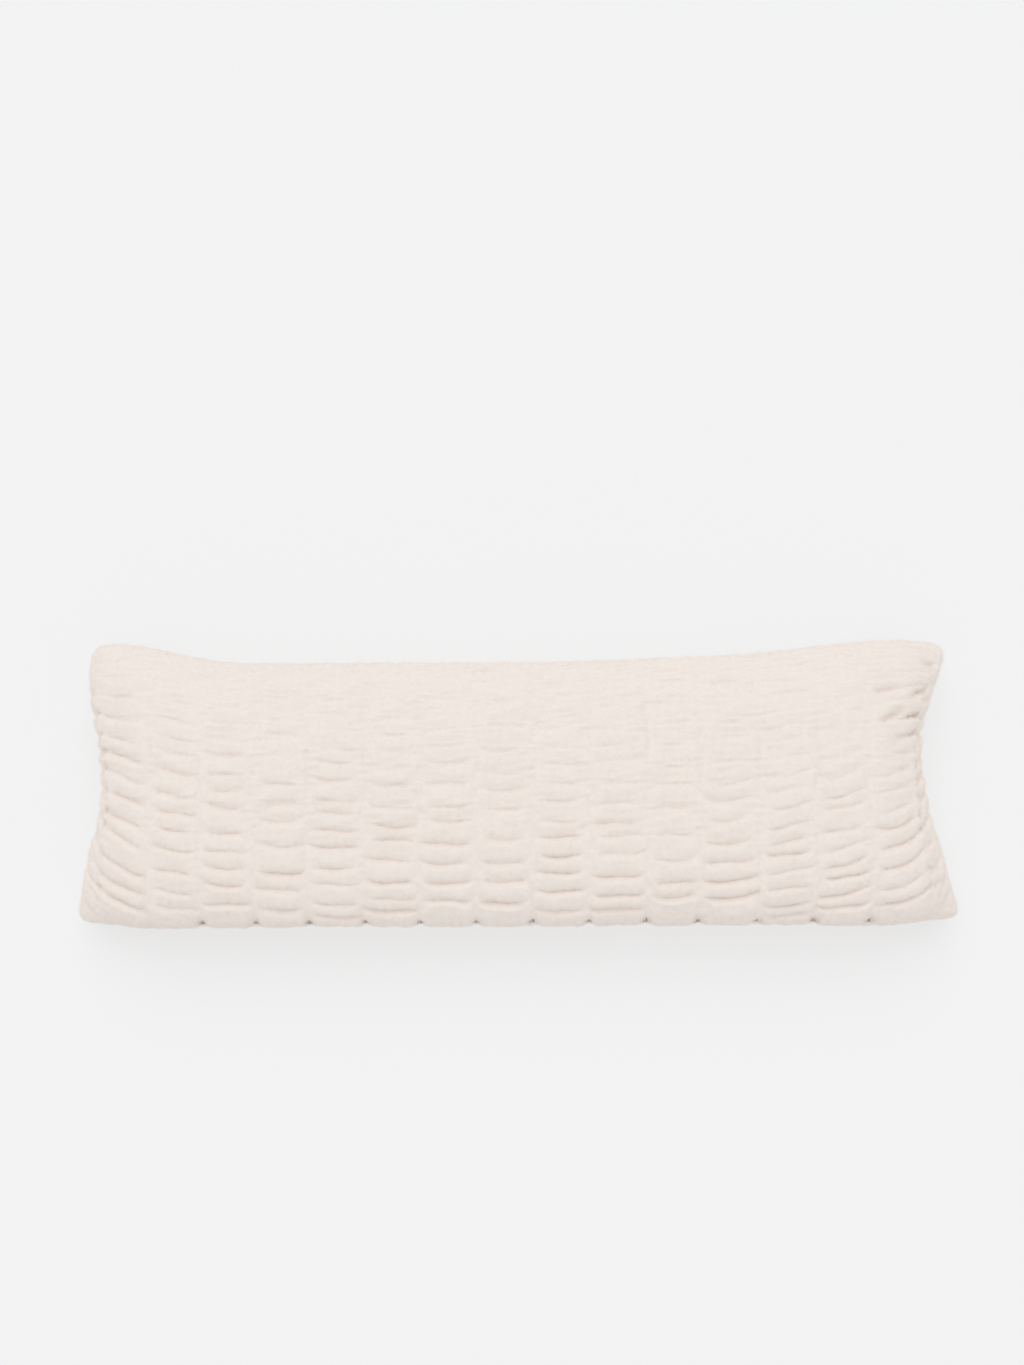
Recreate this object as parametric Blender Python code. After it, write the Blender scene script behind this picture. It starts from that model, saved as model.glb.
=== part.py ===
"""A filled body pillow in ruched plush, lying on its back.

One closed solid: a front panel stitched into upright columns of puffed ribs, a plain back panel that lies flat on
the surface, and a rounded edge with the seam tucked in all round. Metres. +Z points out of the pillow's face, +X
along its length and +Y towards its high side. The origin is under the middle of its box.

A place on either panel is (u, v), each from -1 to 1: u along the cloth's length, v across its height.
"""

import bmesh
import bpy
import numpy as np

# The front panel's ruched cloth from seam to seam, for a pillow that is 54 x 18 inches once filled
CLOTH_LENGTH = 1.41
CLOTH_HEIGHT = 0.51

# The seam's outline. The low side is at -Y, the high side at +Y
CORNER_X_LOW, CORNER_X_HIGH = 0.693, 0.687
CORNER_RADIUS = 0.030
LOW_Y_CORNER, LOW_Y_MIDDLE = -0.214, -0.229
HIGH_Y_LEFT, HIGH_Y_RIGHT, HIGH_Y_MIDDLE = 0.231, 0.232, 0.195
# Stretches of u, away from the middle, over which the long sides bend
LOW_BEND = (0.62, 1.0)
HIGH_LEFT_BEND = (0.57, 0.96)
HIGH_RIGHT_SLOPE, HIGH_RIGHT_BEND = (0.0, 0.75), (0.45, 0.92)
SLOPE_SHARE = 0.4  # how much of the right side's rise is its slope, and not its bend
# How far the short sides are drawn in, and at which v the most
LEFT_WAIST, LEFT_WAIST_V = 0.033, -0.08
RIGHT_WAIST, RIGHT_WAIST_V = 0.053, 0.10
WAIST_SHARPNESS = 1.4

# The filling
SEAM_HEIGHT = 0.068
SEAM_DROP_LOW, SEAM_DROP_CORNER = 0.014, 0.018
CROWN = 0.094  # above the seam
BELLY = 0.088  # below it, before the surface flattens the back
CREST = -0.14  # the crown's highest line, as a place between the long sides from -1 to 1
PLUSH_EDGE = 0.013  # half the thickness at the very edge, all plush
LOW_SQUARE, HIGH_SQUARE, BACK_SQUARE, END_SQUARE = 2.9, 2.1, 2.3, 2.2  # 2 is an ellipse, more is blunter
END_START = 0.72  # the |u| where an end starts to turn down

# How far the seam is pulled in under the bulge beside it, and how far into the panel that reaches, as u or v
LOW_TUCK, LOW_TUCK_REACH = 0.022, 0.07
HIGH_TUCK, HIGH_TUCK_REACH = 0.005, 0.03
END_TUCK, END_TUCK_REACH = 0.007, 0.012

# The ruching
COLUMN_GROOVE = 0.0060
RIB_CREASE = 0.0090
SIDE_FADE, END_FADE = 0.012, 0.060  # it dies out over this much cloth beside the long and the short sides
HIGH_SIDE_EASE = 0.45  # the share of its depth that it loses towards the high side
EASE_STRETCH = (0.0, 0.9)  # the stretch of v over which it does

# Columns of ribs from left to right: width of cloth (m), ribs over the whole height, how many rib heights the
# first crease lies above the low seam, and how far the creases climb to the right across the column (m)
COLUMNS = (
    # width, ribs, first, climb
    (0.074, 15, 0.80, -0.004),
    (0.072, 18, 1.25, -0.006),
    (0.073, 18, 0.75, -0.004),
    (0.083, 18, 1.00, -0.002),
    (0.081, 15, 1.05, -0.002),
    (0.086, 19, 1.20, -0.001),
    (0.084, 18, 1.30, -0.001),
    (0.086, 16, 0.85, 0.000),
    (0.086, 15, 0.50, -0.001),
    (0.087, 18, 0.50, 0.000),
    (0.087, 18, 1.45, 0.000),
    (0.080, 15, 0.55, 0.001),
    (0.087, 17, 0.95, 0.002),
    (0.089, 21, 1.20, 0.004),
    (0.078, 21, 0.85, 0.005),
    (0.085, 19, 0.85, 0.008),
    (0.092, 15, 0.50, 0.008),
)
WANDER = 0.13  # how far a crease strays from its even place, in rib heights
FAINTEST = 0.45  # the shallowest crease's share of the full depth
LAST_CREASE = 0.3  # the least distance between a crease and the high seam, in rib heights
UNEVEN_SEED = 17

# The mesh
ROWS = 64
ACROSS_COLUMN = (0.0, 0.2, 0.5, 0.8)
BACK_RINGS = (0.30, 0.62, 0.84, 1.0)  # shares of the way from the seam to the flat
FLAT_U, FLAT_V, FLAT_SQUARE = 0.80, 0.62, 4.0  # the part of the back that lies flat
CURVE_STEPS = 600
SLOPE_STEP = 1e-3

PLUSH_COLOUR = (0.84, 0.77, 0.70, 1)
PLUSH_ROUGHNESS = 0.95


def smooth(x, start, end):
    """0 before start, 1 after end, and a smooth rise between them."""
    t = np.clip((x - start) / (end - start), 0, 1)
    return t * t * (3 - 2 * t)


def turn_down(share, square, reach, height):
    """(across, up, length) for a share of the way down a rounded edge, from its crest to its seam.

    The edge is a quarter of the curve across^n + up^n = 1, n being square, stretched to reach by height. The
    share is of that stretched curve's length, so the cloth isn't bunched or thinned by it."""
    angle = np.linspace(0, np.pi / 2, CURVE_STEPS)
    across, up = np.sin(angle) ** (2 / square), np.cos(angle) ** (2 / square)
    up[-1] = 0
    length = np.concatenate([[0], np.cumsum(np.hypot(reach * np.diff(across), height * np.diff(up)))])
    at = np.clip(share, 0, 1) * length[-1]
    return np.interp(at, length, across), np.interp(at, length, up), length[-1]


def across_height(v, crest, low_square, high_square):
    """(place between the long sides from -1 to 1, share of the full crown) for a v of the cloth."""
    half = (HIGH_Y_MIDDLE - LOW_Y_MIDDLE) / 2
    low_reach, high_reach = half * (1 + crest), half * (1 - crest)
    low_length = turn_down(0, low_square, low_reach, CROWN)[2]
    high_length = turn_down(0, high_square, high_reach, CROWN)[2]
    crest_v = -1 + 2 * low_length / (low_length + high_length)
    low = turn_down((crest_v - v) / (crest_v + 1), low_square, low_reach, CROWN)
    high = turn_down((v - crest_v) / (1 - crest_v), high_square, high_reach, CROWN)
    place = np.where(v < crest_v, crest - low[0] * (1 + crest), crest + high[0] * (1 - crest))
    return place, np.where(v < crest_v, low[1], high[1])


def along_length(u):
    """(share of the way from an end's start to its seam, share of the full crown) for a u of the cloth."""
    reach = CORNER_X_LOW - RIGHT_WAIST - END_START * CLOTH_LENGTH / 2
    turned = turn_down((np.abs(u) - END_START) / (1 - END_START), END_SQUARE, reach, CROWN)
    return turned[0], turned[1]


def low_side(u):
    """The low long side's Y: it bulges out a little between its corners."""
    return LOW_Y_MIDDLE + (LOW_Y_CORNER - LOW_Y_MIDDLE) * smooth(np.abs(u), *LOW_BEND)


def high_side(u):
    """The high long side's Y: it dips between its corners, with a short bend at the left and a long rise at the right."""
    left = smooth(-u, *HIGH_LEFT_BEND)
    right = SLOPE_SHARE * smooth(u, *HIGH_RIGHT_SLOPE) + (1 - SLOPE_SHARE) * smooth(u, *HIGH_RIGHT_BEND)
    return HIGH_Y_MIDDLE + (HIGH_Y_LEFT - HIGH_Y_MIDDLE) * left + (HIGH_Y_RIGHT - HIGH_Y_MIDDLE) * right


def short_side(u, v):
    """How far out the short side nearest to u lies at v. Each is drawn in between its corners."""
    corner = CORNER_X_LOW + (CORNER_X_HIGH - CORNER_X_LOW) * (v + 1) / 2
    waist, waist_v = np.where(u > 0, RIGHT_WAIST, LEFT_WAIST), np.where(u > 0, RIGHT_WAIST_V, LEFT_WAIST_V)
    from_waist = (v - waist_v) / np.where(v < waist_v, 1 + waist_v, 1 - waist_v)
    return corner - waist * np.clip(1 - from_waist**2, 0, 1) ** WAIST_SHARPNESS


def corner_pull(along, half_cloth):
    """How far a rounded corner pulls the seam in, at a place along one side from -1 to 1."""
    pull = (1 - np.sqrt(0.5)) * CORNER_RADIUS
    return pull * np.abs(along) ** (half_cloth / pull)


def plan(u, v, place, crown, end_share, end_crown):
    """X and Y of a place on a panel. Cloth near a side runs level with it, and over the filling it turns down."""
    start = END_START * CLOTH_LENGTH / 2
    t = np.clip((np.abs(u) - END_START) / (1 - END_START), 0, 1)
    out = (1 - crown) * t + crown * end_share
    x = np.where(t > 0, start + (short_side(u, v) - start) * out, np.abs(u) * CLOTH_LENGTH / 2)
    x = x - corner_pull(v, CLOTH_HEIGHT / 2) * smooth(np.abs(u), END_START, 1)
    share = (1 + (1 - end_crown) * v + end_crown * place) / 2
    y = low_side(u) + (high_side(u) - low_side(u)) * share
    return np.sign(u) * x, y - v * corner_pull(u, CLOTH_LENGTH / 2)


def from_seam(u, v):
    """How much cloth lies between a place and the short side, and between it and the long side."""
    return (1 - np.abs(u)) * CLOTH_LENGTH / 2, (1 - np.abs(v)) * CLOTH_HEIGHT / 2


def edge_thickness(u, v):
    """The plush's own thickness beyond the filling: a quarter round at the seam, level further in."""
    near = np.clip(np.minimum(*from_seam(u, v)) / PLUSH_EDGE, 0, 1)
    return PLUSH_EDGE * np.sqrt(1 - (1 - near) ** 2)


def seam_level(u, v):
    """The height of the seam's plane: it drops towards the low side, and to the corners."""
    low, corner = ((1 - v) / 2) ** 3, np.abs(u) ** 10 * np.abs(v) ** 6
    return SEAM_HEIGHT - SEAM_DROP_LOW * low - SEAM_DROP_CORNER * corner


def front(u, v):
    """The front panel without its ruching."""
    place, crown = across_height(v, CREST, LOW_SQUARE, HIGH_SQUARE)
    end_share, end_crown = along_length(u)
    x, y = plan(u, v, place, crown, end_share, end_crown)
    x = x - np.sign(u) * END_TUCK * (1 - v**6) * np.exp(-(1 - np.abs(u)) / END_TUCK_REACH)
    low_tuck = LOW_TUCK * np.exp(-(1 + v) / LOW_TUCK_REACH)
    high_tuck = HIGH_TUCK * np.exp(-(1 - v) / HIGH_TUCK_REACH)
    z = seam_level(u, v) + CROWN * end_crown * crown + edge_thickness(u, v)
    return np.stack([x, y + (low_tuck - high_tuck) * (1 - u**6), z], axis=-1)


def back(u, v):
    """The plain back panel, which lies flat on the surface where the filling presses it down."""
    place, crown = across_height(v, 0.0, BACK_SQUARE, BACK_SQUARE)
    end_share, end_crown = along_length(u)
    x, y = plan(u, v, place, crown, end_share, end_crown)
    x = x - np.sign(u) * END_TUCK * (1 - v**6) * smooth(np.abs(u), END_START, 1)
    tuck = LOW_TUCK * smooth(-v, 0, 1) - HIGH_TUCK * smooth(v, 0, 1)
    z = seam_level(u, v) - BELLY * end_crown * crown - edge_thickness(u, v)
    return np.stack([x, y + tuck * (1 - u**6), np.maximum(z, 0)], axis=-1)


def stitch_lines():
    """The u of each line between two columns, with both short sides."""
    widths = np.array([width for width, *_ in COLUMNS])
    return np.concatenate([[0], np.cumsum(widths)]) / widths.sum() * 2 - 1


def creases(number):
    """(v of each crease in a column from low to high, its share of the full depth), both uneven."""
    _, ribs, first, _ = COLUMNS[number]
    uneven = np.random.default_rng(UNEVEN_SEED + number)
    places = np.arange(ribs) + first + uneven.uniform(-WANDER, WANDER, ribs)
    depths = uneven.uniform(FAINTEST, 1, ribs)
    inside = places < ribs - LAST_CREASE
    return places[inside] * 2 / ribs - 1, depths[inside]


def column_rows(number):
    """(v of each mesh row in a column, the crease's share of the full depth there). Each crease has a row."""
    places, depths = creases(number)
    lines = np.concatenate([[-1], places, [1]])
    rows = np.round((lines + 1) / 2 * ROWS).astype(int)
    depth = np.zeros(ROWS + 1)
    depth[rows[1:-1]] = depths
    return np.interp(np.arange(ROWS + 1), rows, lines), depth


def front_grid():
    """u, v and how deep the ruching is at every vertex of the front panel, as arrays of [line, row]."""
    lines = stitch_lines()
    columns = [column_rows(number) for number in range(len(COLUMNS))]
    u, v, depth = [], [], []
    for number, (_, _, _, climb) in enumerate(COLUMNS):
        own_v, crease = columns[number]
        left_v = columns[max(number - 1, 0)][0]
        for across in ACROSS_COLUMN:
            stitched = across == 0
            row_v = (left_v + own_v) / 2 if stitched else own_v
            tilt = 0 if stitched else (across - 0.5) * climb / (CLOTH_HEIGHT / 2)
            rib_depth = RIB_CREASE * (1 - (2 * across - 1) ** 2) * crease
            u.append(np.full(ROWS + 1, lines[number] + across * (lines[number + 1] - lines[number])))
            v.append(row_v + tilt * (1 - row_v**2))
            depth.append(np.full(ROWS + 1, COLUMN_GROOVE) if stitched else rib_depth)
    u.append(np.ones(ROWS + 1))
    v.append(columns[-1][0])
    depth.append(np.zeros(ROWS + 1))
    return np.array(u), np.array(v), np.array(depth)


def front_normal(u, v):
    """The front panel's outward direction."""
    u, v = np.clip(u, -1 + SLOPE_STEP, 1 - SLOPE_STEP), np.clip(v, -1 + SLOPE_STEP, 1 - SLOPE_STEP)
    along = front(u + SLOPE_STEP, v) - front(u - SLOPE_STEP, v)
    up = front(u, v + SLOPE_STEP) - front(u, v - SLOPE_STEP)
    normal = np.cross(along, up)
    return normal / np.linalg.norm(normal, axis=-1, keepdims=True)


def front_points():
    """u, v and the places of the front panel's vertices, with the ruching pressed into them."""
    u, v, depth = front_grid()
    to_short, to_long = from_seam(u, v)
    depth = depth * smooth(to_long, 0, SIDE_FADE) * smooth(to_short, 0, END_FADE)
    depth = depth * (1 - HIGH_SIDE_EASE * smooth(v, *EASE_STRETCH))
    return u, v, front(u, v) - depth[..., None] * front_normal(u, v)


def rim_places(lines, rows):
    """The grid places of the front panel's seam, anticlockwise seen from above."""
    low = [(line, 0) for line in range(lines)]
    right = [(lines - 1, row) for row in range(1, rows)]
    high = [(line, rows - 1) for line in range(lines - 2, -1, -1)]
    left = [(0, row) for row in range(rows - 2, 0, -1)]
    return low + right + high + left


def add_front(mesh, points):
    """Adds the front panel and gives its vertices as a grid of [line][row]."""
    grid = [[mesh.verts.new(point) for point in line] for line in points]
    for line, after in zip(grid, grid[1:]):
        for row in range(len(line) - 1):
            mesh.faces.new((line[row], after[row], after[row + 1], line[row + 1]))
    return grid


def add_back(mesh, rim, rim_u, rim_v):
    """Adds the back panel: rings from the seam to the flat, which is one face."""
    size = (np.abs(rim_u) ** FLAT_SQUARE + np.abs(rim_v) ** FLAT_SQUARE) ** (1 / FLAT_SQUARE)
    flat_u, flat_v = FLAT_U * rim_u / size, FLAT_V * rim_v / size
    outer = rim
    for share in BACK_RINGS:
        points = back(rim_u + (flat_u - rim_u) * share, rim_v + (flat_v - rim_v) * share)
        if share == 1:
            points[:, 2] = 0
        inner = [mesh.verts.new(point) for point in points]
        for k in range(len(rim)):
            after = (k + 1) % len(rim)
            mesh.faces.new((outer[after], outer[k], inner[k], inner[after]))
        outer = inner
    mesh.faces.new(outer[::-1])


def centre(mesh):
    """Moves the pillow so that the origin is under the middle of its box."""
    points = np.array([vertex.co for vertex in mesh.verts])
    middle = (points.min(0) + points.max(0)) / 2
    bmesh.ops.translate(mesh, verts=mesh.verts, vec=(-middle[0], -middle[1], 0))


def plush_material():
    material = bpy.data.materials.new("ivory_plush")
    material.use_nodes = True
    shader = material.node_tree.nodes["Principled BSDF"]
    shader.inputs["Base Color"].default_value = PLUSH_COLOUR
    shader.inputs["Roughness"].default_value = PLUSH_ROUGHNESS
    shader.inputs["Metallic"].default_value = 0.0
    return material


def add_pillow():
    u, v, points = front_points()
    mesh = bmesh.new()
    grid = add_front(mesh, points)
    rim = rim_places(*u.shape)
    rim_u, rim_v = np.array([u[place] for place in rim]), np.array([v[place] for place in rim])
    add_back(mesh, [grid[line][row] for line, row in rim], rim_u, rim_v)
    centre(mesh)
    data = bpy.data.meshes.new("pillow")
    mesh.to_mesh(data)
    mesh.free()
    data.shade_smooth()
    data.materials.append(plush_material())
    bpy.context.scene.collection.objects.link(bpy.data.objects.new("pillow", data))


def main():
    for obj in list(bpy.data.objects):
        bpy.data.objects.remove(obj)
    add_pillow()


main()
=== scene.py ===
"""The looks of a filled body pillow in ruched plush, lying on its back on a pale studio floor.

The cover is one closed surface over both panels, worked out on a grid. A place on a panel is (u, v), each
from -1 to 1: u along the cloth's length, v across its height. The pile is many small fibres rooted in the
cover. Metres. +Z points out of the pillow's face, +X along its length and +Y towards its high side.
"""

import bpy
import numpy as np
from mathutils import Matrix, Vector


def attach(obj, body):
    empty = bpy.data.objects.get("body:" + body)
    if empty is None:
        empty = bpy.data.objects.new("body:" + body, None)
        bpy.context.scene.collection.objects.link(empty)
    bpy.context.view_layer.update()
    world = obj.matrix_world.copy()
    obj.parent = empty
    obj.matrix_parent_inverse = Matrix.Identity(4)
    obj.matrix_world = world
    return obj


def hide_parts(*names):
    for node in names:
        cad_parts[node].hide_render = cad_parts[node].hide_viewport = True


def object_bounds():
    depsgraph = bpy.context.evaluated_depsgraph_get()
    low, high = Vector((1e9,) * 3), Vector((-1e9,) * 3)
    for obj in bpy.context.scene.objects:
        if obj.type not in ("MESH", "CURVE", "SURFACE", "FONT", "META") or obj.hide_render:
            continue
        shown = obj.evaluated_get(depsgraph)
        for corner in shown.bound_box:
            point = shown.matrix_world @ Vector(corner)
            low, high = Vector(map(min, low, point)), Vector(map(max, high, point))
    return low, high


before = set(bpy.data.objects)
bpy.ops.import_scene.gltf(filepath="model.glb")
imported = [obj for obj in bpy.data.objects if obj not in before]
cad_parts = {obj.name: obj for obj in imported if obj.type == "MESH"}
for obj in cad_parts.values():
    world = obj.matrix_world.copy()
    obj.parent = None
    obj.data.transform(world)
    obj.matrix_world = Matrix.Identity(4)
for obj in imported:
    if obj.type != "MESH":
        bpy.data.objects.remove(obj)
CAD_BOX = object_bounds()

# The front panel's ruched cloth, from its middle to its seams
HALF_LENGTH, HALF_HEIGHT = 0.705, 0.255

# The seam's outline. The low side is at -Y, the high side at +Y
CORNER_X_LOW, CORNER_X_HIGH = 0.695, 0.687
CORNER_RADIUS = 0.036
LOW_Y_CORNER, LOW_Y_MIDDLE = -0.215, -0.2305
HIGH_Y_LEFT, HIGH_Y_RIGHT, HIGH_Y_MIDDLE = 0.235, 0.233, 0.197
# Stretches of u, away from the middle, over which the long sides bend
LOW_BEND = (0.80, 1.0)
HIGH_LEFT_BEND = (0.60, 0.96)
HIGH_RIGHT_SLOPE, HIGH_RIGHT_BEND = (0.0, 0.75), (0.45, 0.92)
SLOPE_SHARE = 0.4  # how much of the right side's rise is its slope, and not its bend
# How far the short sides are drawn in, and at which v the most
LEFT_WAIST, LEFT_WAIST_V = 0.036, -0.08
RIGHT_WAIST, RIGHT_WAIST_V = 0.056, 0.10
# How sharply each is drawn in, below its waist and above it
LEFT_SHARPNESS, RIGHT_SHARPNESS = (1.6, 3.4), (1.25, 1.9)

# The filling
SEAM_HEIGHT = 0.068
SEAM_DROP_LOW, SEAM_DROP_CORNER = 0.014, 0.018
CROWN = 0.094  # above the seam
BELLY = 0.088  # below it, before the surface flattens the back
CREST = -0.14  # the crown's highest line, as a place between the long sides from -1 to 1
PLUSH_EDGE = 0.013  # half the thickness at the very edge, all plush
LOW_SQUARE, HIGH_SQUARE, BACK_SQUARE, END_SQUARE = 2.9, 2.1, 2.3, 2.2  # 2 is an ellipse, more is blunter
END_START = 0.72  # the |u| where an end starts to turn down

# How far the seam is pulled in under the bulge beside it, and over which stretch of u or v
LOW_TUCK, LOW_TUCK_REACH = 0.014, 0.07
HIGH_TUCK, HIGH_TUCK_REACH = 0.005, 0.03
END_TUCK, END_TUCK_REACH = 0.007, 0.012

# Columns of ribs from left to right: width of cloth (m), ribs over the whole height, how many rib heights
# the first crease lies above the low seam, and how far creases climb to the right across the column (m)
COLUMNS = (
    (0.074, 15, 0.80, -0.019),
    (0.072, 16, 1.25, -0.016),
    (0.073, 18, 0.75, -0.008),
    (0.083, 18, 1.00, -0.005),
    (0.081, 15, 1.05, -0.004),
    (0.086, 19, 1.20, -0.003),
    (0.084, 18, 1.30, -0.002),
    (0.086, 17, 0.85, -0.001),
    (0.086, 15, 0.50, -0.001),
    (0.087, 18, 0.50, 0.001),
    (0.087, 18, 1.45, 0.001),
    (0.080, 15, 0.55, 0.003),
    (0.087, 17, 0.95, 0.006),
    (0.089, 21, 1.20, 0.010),
    (0.078, 21, 0.85, 0.016),
    (0.085, 19, 0.85, 0.014),
    (0.092, 15, 0.50, 0.020),
)
WANDER = 0.20  # how far a crease strays from its even place, in rib heights
FAINTEST = 0.60  # the shallowest crease's share of the full depth
FIRST_CREASE, LAST_CREASE = 2.0, 0.9  # the least distance to the low and high seams, in rib heights
CLIMB_RANGE = (0.6, 1.3)  # the shares of its column's climb that a crease may have
UNEVEN_SEED = 17

# The shape of a crease and of the ribs beside it
RIB_CREASE, LOW_GROWTH = 0.0108, 0.20  # its depth, and the share that this grows by towards the low seam
LOW_STRETCH = (0.1, 0.8)  # the -v over which creases take their low form
# The share of the depth that is lost towards the high side, and the v over which it goes
HIGH_SIDE_EASE, EASE_STRETCH = 0.86, (-0.40, 0.62)
EASE_SLOPE = 0.18  # how much lower it starts at the right end, and higher at the left one, as v
END_EASE, END_EASE_STRETCH = 0.80, (0.40, 0.75)  # the same near the ends
END_STRETCH = (0.78, 0.93)  # the |u| where the ends' ruching starts
CORNER_EASE, CORNER_STRETCH = 0.92, (0.10, 0.50)  # the share lost in the low corners' strips, over which -v
CORNER_STRIP = (0.92, 0.95)  # the |u| where those strips start
UNDERSIDE, TOPSIDE = 0.66, 0.28  # how far the rounding of the rib above and below reaches, in rib heights
UNDER_POWER, TOP_POWER = 1.6, 1.4  # of the way from a crease to a rib's face: 1 is a bevel, more is sharper
OVERHANG = 0.35  # how far a rib's underside hangs over the crease, as a share of the crease's depth
TILT_GROWTH = 0.4  # how much steeper the creases' climb gets towards the low side
SAG, SAG_LOW = (0.0010, 0.0035), 0.7  # how much lower its middle is, and the growth of that by the low seam
SAG_BELOW = 0.4  # the share of it that lies below the crease's place, and not above it
LIFT, LIFT_LOW = 0.0012, 0.0038  # how far its ends turn up round the rib above, and near the low seam
WAVE, WAVES_ACROSS = 0.0012, 1.3  # how far it wavers on the way, and how often
FADE = 0.27  # the share of the column over which it fades at its ends
LEFT_END, RIGHT_END = (-0.06, 0.10), (0.90, 1.06)  # between which places across the column it ends
LOW_REACH = 0.06  # how much further it reaches near the low seam, as a share of the column
SWELL = 0.0028  # how much lower the flattest rib is than the fullest

# The stitched lines between the columns
VALLEY, VALLEY_LOW = 0.0020, 0.0032  # their depth, and that near the low seam
VALLEY_STRETCH = (0.6, 0.95)  # the -v over which it changes
VALLEY_WIDTH = 0.0085
INTERLOCK = 0.0024  # how far a rib's end pushes the line into the next column's crease
SHARE_REACH = 0.014  # beside a line, the rows of both columns blend over this much cloth
PUCKER, PUCKER_SIZE = 0.0090, 0.0060  # pits where creases meet the outermost lines
DARK_PUCKERS = (-0.35, 0.45)  # the v between which they have painted shade and no pile fills them
DARK_SHARE, DARK_SIZE = 0.75, 0.0045  # how dark their painted shade is there, and how wide that is
PUCKERED_LINES, PUCKERED_VALLEY = (1, 16), 0.30  # those lines, and their share of a valley between pits
# Lines that run down to the low seam in pinches: depth, half the width, the heights they come and go over
PINCHED_LINES = range(3, 16)
PINCH, PINCH_WIDTH = 0.0070, 0.0080
PINCH_HEIGHTS = (0.012, 0.024), (0.030, 0.064)
# Their painted shade: how dark it is, half the width of that, and the heights that it comes and goes over
PIT_SHARE, PIT_WIDTH = 0.90, 0.0066
PIT_HEIGHTS = (0.006, 0.014), (0.018, 0.034)
# Painted shade between the fine gathers above the low seam: the heights it comes and goes over, and the |u|
# where it ends
HEM_HEIGHTS, HEM_SIDE = ((0.000, 0.012), (0.020, 0.046)), (0.90, 0.95)
# How far lines beside the ends lie from their even place (m): line, low side, mid-height, high side
LINE_PUSH = (
    (1, -0.007, -0.026, -0.055),
    (2, -0.001, -0.003, -0.011),
    (13, 0.002, 0.004, 0.006),
    (14, 0.001, 0.003, 0.012),
    (15, 0.008, 0.008, 0.014),
    (16, 0.018, 0.034, 0.070),
)

# Ruching dies out over this much cloth beside the long and the short sides
SIDE_FADE, END_FADE = 0.005, 0.008

# Folds that the corners draw in: u, v, angle from +X (degrees), length (m), depth (m)
CORNER_FOLDS = (
    (-0.950, -0.86, -50, 0.040, 0.0035),
    (-0.930, -0.72, -35, 0.045, 0.0035),
    (-0.968, -0.62, -25, 0.040, 0.0030),
    (0.955, -0.82, 50, 0.045, 0.0045),
    (0.935, -0.72, 55, 0.045, 0.0045),
    (0.968, -0.66, 60, 0.045, 0.0040),
    (0.945, -0.56, 50, 0.040, 0.0040),
    (0.835, 0.38, 24, 0.060, 0.0105),
    (0.912, 0.38, 2, 0.054, 0.0110),
    (0.922, 0.545, 20, 0.060, 0.0110),
    (0.938, 0.76, 2, 0.045, 0.0080),
    (0.812, 0.54, 14, 0.050, 0.0080),
    (0.918, 0.27, 20, 0.050, 0.0080),
    (0.855, 0.23, 8, 0.050, 0.0060),
    (-0.970, 0.84, 25, 0.040, 0.0025),
)
FOLD_WIDTH = 0.0052
FOLD_FADE = (0.25, 0.5)  # the distances from its middle over which a fold fades, as shares of its length

# Unevenness of the filling and the cloth: depth, size and seed
LUMP, LUMP_SIZE, LUMP_SEED, BACK_LUMP_SEED = 0.0016, 0.12, 1, 4
RIPPLE, RIPPLE_SIZE, RIPPLE_SEED = 0.0007, 0.024, 2
WRINKLE, WRINKLE_SIZE, WRINKLE_SEED = 0.0011, 0.010, 5
WRINKLE_HEIGHT = 0.16  # of a wrinkle, as a share of its length
WRINKLED = (-0.9, 0.2)  # the v over which wrinkles set in
WAVES, WAVE_RANGE = 14, (0.7, 1.5)  # how many waves make it up, and their lengths as shares of the size
LEVEL_EDGE = 0.05  # it dies out over this much cloth beside the seam

# The seam's groove, and the puckers beside it on the front and on the plain back
SEAM_GROOVE, SEAM_GROOVE_REACH = 0.0008, 0.004
# Depth, pitch, the cloth that they die out over and the cloth that they rise over, seed
FRONT_PUCKER = (0.0016, 0.018, 0.016, 0.006, 6)
BACK_PUCKER = (0.0030, 0.030, 0.035, 0.01, 3)

# The mesh
ROWS = 224
COLUMN_LINES = 20
LINE_CROWDING, ROW_CROWDING = 0.55, 0.60  # 0 spaces them evenly, 1 packs them at stitches and creases
BACK_RINGS, RING_CROWDING = 16, 1.3  # more than 1 packs them at the seam
FLAT_U, FLAT_V, FLAT_SQUARE = 0.80, 0.62, 4.0  # the part of the back that lies flat
FLAT_START = (0.7, 1.0)  # the share of the way there over which the back gets smooth
CURVE_STEPS = 600
SLOPE_STEP = 1e-3
UV_MARGIN = 0.01

# The filling's pressure on the front cloth, worked out by simulation on a coarser copy of it
FILL_STEP = 2  # the copy has every second line and row
FILL_FRAMES = 10
FILL_PRESSURE = 4.0
SPARE_CLOTH = 0.06  # how much larger the cloth is than its first form
SPARE_STRETCH = (-0.85, -0.65), (0.0, 0.9)  # the v that this comes and goes over
HELD_DEPTH = 0.006  # a crease this deep is held fast, and a shallower one in part
HELD_LINE, HELD_LINE_HIGH = 0.5, 0.2  # how fast stitched lines are held, with spare cloth and without
FILL_CAP = 0.005  # how far a point may move (m)
STIFFNESS = {"tension": 15, "compression": 15, "shear": 5, "bending": 2.0}
SETTLED_ROUNDS = 4  # how often the moves are evened out

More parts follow.
